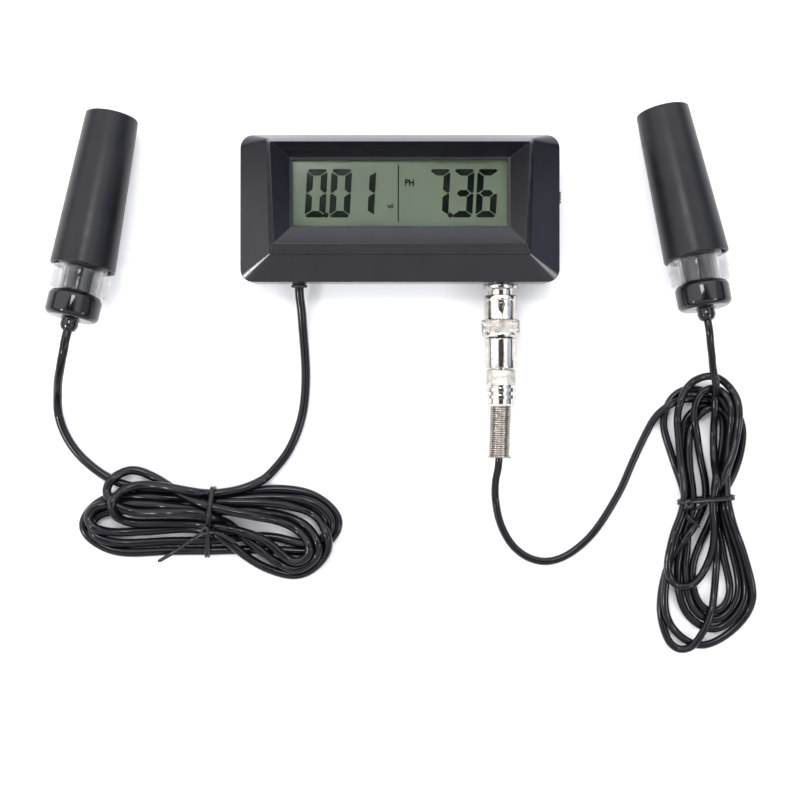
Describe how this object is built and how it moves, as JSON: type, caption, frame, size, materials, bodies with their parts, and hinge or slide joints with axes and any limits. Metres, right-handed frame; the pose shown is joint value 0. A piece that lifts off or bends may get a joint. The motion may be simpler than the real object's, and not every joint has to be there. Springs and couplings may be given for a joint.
{
  "type": "ph meter",
  "caption": "Wedge-framed pH and conductivity monitor with an LCD, a bayonet-coupled probe lead and sleeved probes on suction-cup clips.",
  "frame": {"origin": "centre of the meter's flat back face, which lies on the surface everything rests on", "axes": "+X to the meter's right, +Y to its top edge, +Z out through the display"},
  "size_m": [0.2654, 0.2087, 0.0311],
  "materials": {
    "case_black": "satin",
    "cover_black": "satin",
    "display_lens": "polished",
    "lcd_glass": "satin",
    "reflector_white": "matte",
    "contact_rubber": "matte",
    "circuit_board": "satin",
    "chip_resin": "gloss",
    "steel": "satin",
    "switch_black": "matte",
    "trimmer_blue": "satin",
    "brass": "satin",
    "cell_wrap": "satin",
    "nickel": "polished",
    "spring_steel": "satin",
    "dielectric_white": "satin",
    "soft_black": "matte",
    "sleeve_black": "matte",
    "probe_black": "gloss",
    "cap_black": "gloss",
    "cord_black": "satin",
    "tie_black": "matte",
    "clear_plastic": "gloss",
    "electrode_glass": "polished"
  },
  "bodies": {
    "meter": {"battery_bridge": "nickel", "battery_contact_negative": "nickel", "battery_contact_positive": "nickel", "battery_lower": "cell_wrap", "battery_upper": "cell_wrap", "bnc_jack_contact": "brass", "bnc_jack_insulator": "dielectric_white", "bnc_jack_nut": "nickel", "bnc_jack_shell": "nickel", "board_screw_left": "steel", "board_screw_right": "steel", "case_screw_lower_left": "steel", "case_screw_lower_right": "steel", "case_screw_upper_left": "steel", "case_screw_upper_right": "steel", "driver_chip": "chip_resin", "ec_cord_gland": "soft_black", "ec_cord_hank": "cord_black", "ec_cord_tie": "tie_black", "ec_cord_to_meter": "cord_black", "ec_cord_to_probe": "cord_black", "ec_electrode_pin_left": "steel", "ec_electrode_pin_right": "steel", "ec_probe_body": "probe_black", "ec_probe_cap": "cap_black", "front_bezel": "case_black", "lcd_lens": "display_lens", "lcd_panel": "lcd_glass", "lcd_reflector": "reflector_white", "main_board": "circuit_board", "rear_cover": "cover_black", "switch_body": "steel", "trimmer_body_ec": "trimmer_blue", "trimmer_body_ph": "trimmer_blue", "zebra_strip_lower": "contact_rubber", "zebra_strip_upper": "contact_rubber"},
    "power_switch": {"switch_knob": "switch_black"},
    "battery_cover": {"battery_door": "cover_black"},
    "ph_lead": {"bnc_plug_body": "nickel", "bnc_plug_insulator": "dielectric_white", "bnc_plug_pin": "brass", "bnc_plug_gasket": "soft_black", "bnc_cable_clamp": "nickel", "strain_relief_spring": "spring_steel", "ph_cord_to_plug": "cord_black", "ph_cord_hank": "cord_black", "ph_cord_to_probe": "cord_black", "ph_cord_tie": "tie_black", "ph_probe_body": "probe_black", "ph_probe_cap": "cap_black", "ph_glass_electrode": "electrode_glass"},
    "bnc_coupling": {"bnc_coupling_nut": "nickel"},
    "ec_sleeve_cover": {"ec_sleeve": "sleeve_black"},
    "ph_sleeve_cover": {"ph_sleeve": "sleeve_black"},
    "ec_clip": {"ec_clip_ring": "clear_plastic", "ec_suction_cup": "clear_plastic"},
    "ph_clip": {"ph_clip_ring": "clear_plastic", "ph_suction_cup": "clear_plastic"},
    "ec_trimmer": {"trimmer_rotor_ec": "brass"},
    "ph_trimmer": {"trimmer_rotor_ph": "brass"}
  },
  "joints": [
    {"name": "power_switch_slide", "type": "slide", "parent": "meter", "child": "power_switch", "axis": [0, -1, 0], "range_m": [0, 0.0035]},
    {"name": "battery_door_slide", "type": "slide", "parent": "meter", "child": "battery_cover", "axis": [-1, 0, 0], "range_m": [0, 0.055]},
    {"name": "bnc_unplug", "type": "slide", "parent": "meter", "child": "ph_lead", "axis": [0, -1, 0], "range_m": [0, 0.025]},
    {"name": "bnc_coupling_turn", "type": "hinge", "parent": "ph_lead", "child": "bnc_coupling", "pos_m": [0.0378, -0.042, 0.0085], "axis": [0, -1, 0], "range_deg": [0, 90]},
    {"name": "ec_sleeve_slide", "type": "slide", "parent": "meter", "child": "ec_sleeve_cover", "axis": [0.1648, 0.9785, -0.124], "range_m": [0, 0.062]},
    {"name": "ph_sleeve_slide", "type": "slide", "parent": "ph_lead", "child": "ph_sleeve_cover", "axis": [-0.2019, 0.9711, -0.127], "range_m": [0, 0.062]},
    {"name": "ec_clip_turn", "type": "hinge", "parent": "meter", "child": "ec_clip", "pos_m": [-0.1175, -0.0222, 0.0173], "axis": [0.2074, 0.9708, -0.1208], "range_deg": [-90, 90]},
    {"name": "ph_clip_turn", "type": "hinge", "parent": "ph_lead", "child": "ph_clip", "pos_m": [0.1098, -0.0182, 0.0173], "axis": [-0.1466, 0.9815, -0.1232], "range_deg": [-90, 90]},
    {"name": "ec_trimmer_turn", "type": "hinge", "parent": "meter", "child": "ec_trimmer", "pos_m": [0.024, -0.004, 0.009], "axis": [0, 0, 1], "range_deg": [-135, 135]},
    {"name": "ph_trimmer_turn", "type": "hinge", "parent": "meter", "child": "ph_trimmer", "pos_m": [0.024, 0.01, 0.009], "axis": [0, 0, 1], "range_deg": [-135, 135]}
  ]
}
